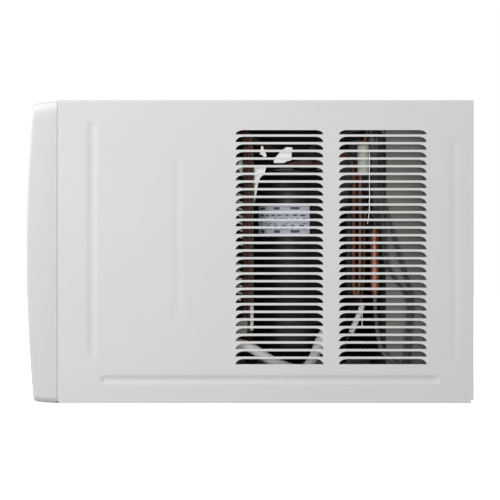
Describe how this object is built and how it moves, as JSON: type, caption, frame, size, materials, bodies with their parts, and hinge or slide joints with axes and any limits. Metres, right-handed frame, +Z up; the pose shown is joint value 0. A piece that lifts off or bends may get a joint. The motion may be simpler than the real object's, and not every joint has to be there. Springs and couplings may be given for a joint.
{
  "type": "window air conditioner",
  "caption": "Slide-out chassis window air conditioner with louvred steel cabinet, bowed moulded front, tilting outlet blades, push buttons, side filter and full cooling circuit.",
  "frame": {"origin": "centre of the unit's outline at the underside of the cabinet floor", "axes": "+Z up; the room side with the moulded front faces -Y and the outdoor side faces +Y; +X is to the right seen from the room"},
  "size_m": [0.66, 0.671, 0.455],
  "materials": {
    "cabinet_paint": "satin powder coat, fine orange peel",
    "galvanised_steel": "spangled zinc",
    "zinc_screws": "bright zinc",
    "coil_fins": "satin",
    "copper": "brown copper, brighter at bends",
    "weathered_steel": "dull grey",
    "air_moulding": "expanded foam moulding",
    "motor_paint": "satin",
    "compressor_paint": "semi-gloss black",
    "dark_plastic": "moulded",
    "label_film": "silvered film with plain bars",
    "black_rubber": "matt",
    "white_insulation": "matt foam sleeve",
    "capacitor_can": "drawn can",
    "circuit_board": "solder mask",
    "red_wire": "vinyl sleeve",
    "dark_wire": "vinyl sleeve",
    "white_nylon": "moulded nylon",
    "front_plastic": "fine moulded texture",
    "panel_plastic": "satin",
    "display_glass": "smoked",
    "button_plastic": "satin",
    "seal_foam": "open-cell foam",
    "filter_plastic": "moulded",
    "filter_net": "woven nylon net"
  },
  "bodies": {
    "cabinet": {"cabinet_right_side": "cabinet_paint", "cabinet_left_side": "cabinet_paint", "cabinet_top": "cabinet_paint", "cabinet_floor": "cabinet_paint", "slide_rails": "galvanised_steel", "rear_guard": "cabinet_paint", "cabinet_screws": "zinc_screws"},
    "chassis": {"base_pan": "galvanised_steel", "bulkhead": "galvanised_steel", "top_brace": "galvanised_steel", "chassis_screws": "zinc_screws", "evaporator_fins": "coil_fins", "evaporator_tubes": "copper", "evaporator_end_plates": "galvanised_steel", "blower_housing": "air_moulding", "outlet_duct": "air_moulding", "fan_motor": "motor_paint", "motor_bracket": "galvanised_steel", "fan_shroud": "weathered_steel", "condenser_fins": "coil_fins", "condenser_tubes": "copper", "condenser_end_plates": "weathered_steel", "compressor_shell": "compressor_paint", "compressor_accumulator": "compressor_paint", "compressor_terminal_cover": "dark_plastic", "compressor_label": "label_film", "compressor_grommets": "black_rubber", "discharge_line": "copper", "suction_line": "white_insulation", "filter_drier": "copper", "capillary_tubes": "copper", "run_capacitor": "capacitor_can", "control_box": "galvanised_steel", "control_board": "circuit_board", "harness_red": "red_wire", "harness_white": "white_insulation", "harness_dark": "dark_wire", "wire_connectors": "white_nylon", "drain_plug": "black_rubber", "cord_gland": "dark_plastic", "front_bezel": "front_plastic", "intake_grille": "front_plastic", "outlet_frame": "dark_plastic", "control_fascia": "panel_plastic", "display_window": "display_glass", "front_seal": "seal_foam"},
    "filter": {"filter_frame": "filter_plastic", "filter_mesh": "filter_net"},
    "rotor": {"motor_shaft": "zinc_screws", "blower_wheel": "dark_plastic", "condenser_fan": "dark_plastic"},
    "button_power": {"button_power": "button_plastic"},
    "button_mode": {"button_mode": "button_plastic"},
    "button_fan": {"button_fan": "button_plastic"},
    "button_down": {"button_down": "button_plastic"},
    "button_up": {"button_up": "button_plastic"},
    "button_timer": {"button_timer": "button_plastic"},
    "blade_low": {"blade_low": "front_plastic"},
    "blade_mid": {"blade_mid": "front_plastic"},
    "blade_top": {"blade_top": "front_plastic"}
  },
  "joints": [
    {"name": "chassis_slide", "type": "slide", "parent": "cabinet", "child": "chassis", "axis": [0, -1, 0], "range_m": [0, 0.4]},
    {"name": "fan_spin", "type": "hinge", "parent": "chassis", "child": "rotor", "pos_m": [-0.09, 0.08, 0.232], "axis": [0, 1, 0], "continuous": true},
    {"name": "filter_slide", "type": "slide", "parent": "chassis", "child": "filter", "axis": [-1, 0, 0], "range_m": [0, 0.62]},
    {"name": "power_press", "type": "slide", "parent": "chassis", "child": "button_power", "axis": [0, 1, 0], "range_m": [0, 0.0012], "stiffness_N_per_m": 700, "springref_m": -0.0008},
    {"name": "mode_press", "type": "slide", "parent": "chassis", "child": "button_mode", "axis": [0, 1, 0], "range_m": [0, 0.0012], "stiffness_N_per_m": 700, "springref_m": -0.0008},
    {"name": "fan_press", "type": "slide", "parent": "chassis", "child": "button_fan", "axis": [0, 1, 0], "range_m": [0, 0.0012], "stiffness_N_per_m": 700, "springref_m": -0.0008},
    {"name": "down_press", "type": "slide", "parent": "chassis", "child": "button_down", "axis": [0, 1, 0], "range_m": [0, 0.0012], "stiffness_N_per_m": 700, "springref_m": -0.0008},
    {"name": "up_press", "type": "slide", "parent": "chassis", "child": "button_up", "axis": [0, 1, 0], "range_m": [0, 0.0012], "stiffness_N_per_m": 700, "springref_m": -0.0008},
    {"name": "timer_press", "type": "slide", "parent": "chassis", "child": "button_timer", "axis": [0, 1, 0], "range_m": [0, 0.0012], "stiffness_N_per_m": 700, "springref_m": -0.0008},
    {"name": "blade_top_tilt", "type": "hinge", "parent": "chassis", "child": "blade_top", "pos_m": [-0.12, -0.312, 0.4145], "axis": [1, 0, 0], "range_deg": [-35, 35]},
    {"name": "blade_mid_tilt", "type": "hinge", "parent": "chassis", "child": "blade_mid", "pos_m": [-0.12, -0.312, 0.389], "axis": [1, 0, 0], "range_deg": [-35, 35]},
    {"name": "blade_low_tilt", "type": "hinge", "parent": "chassis", "child": "blade_low", "pos_m": [-0.12, -0.312, 0.3635], "axis": [1, 0, 0], "range_deg": [-35, 35]}
  ],
  "couplings": [
    {"joint": "blade_mid_tilt", "follows": "blade_top_tilt", "ratio": 1},
    {"joint": "blade_low_tilt", "follows": "blade_top_tilt", "ratio": 1}
  ]
}
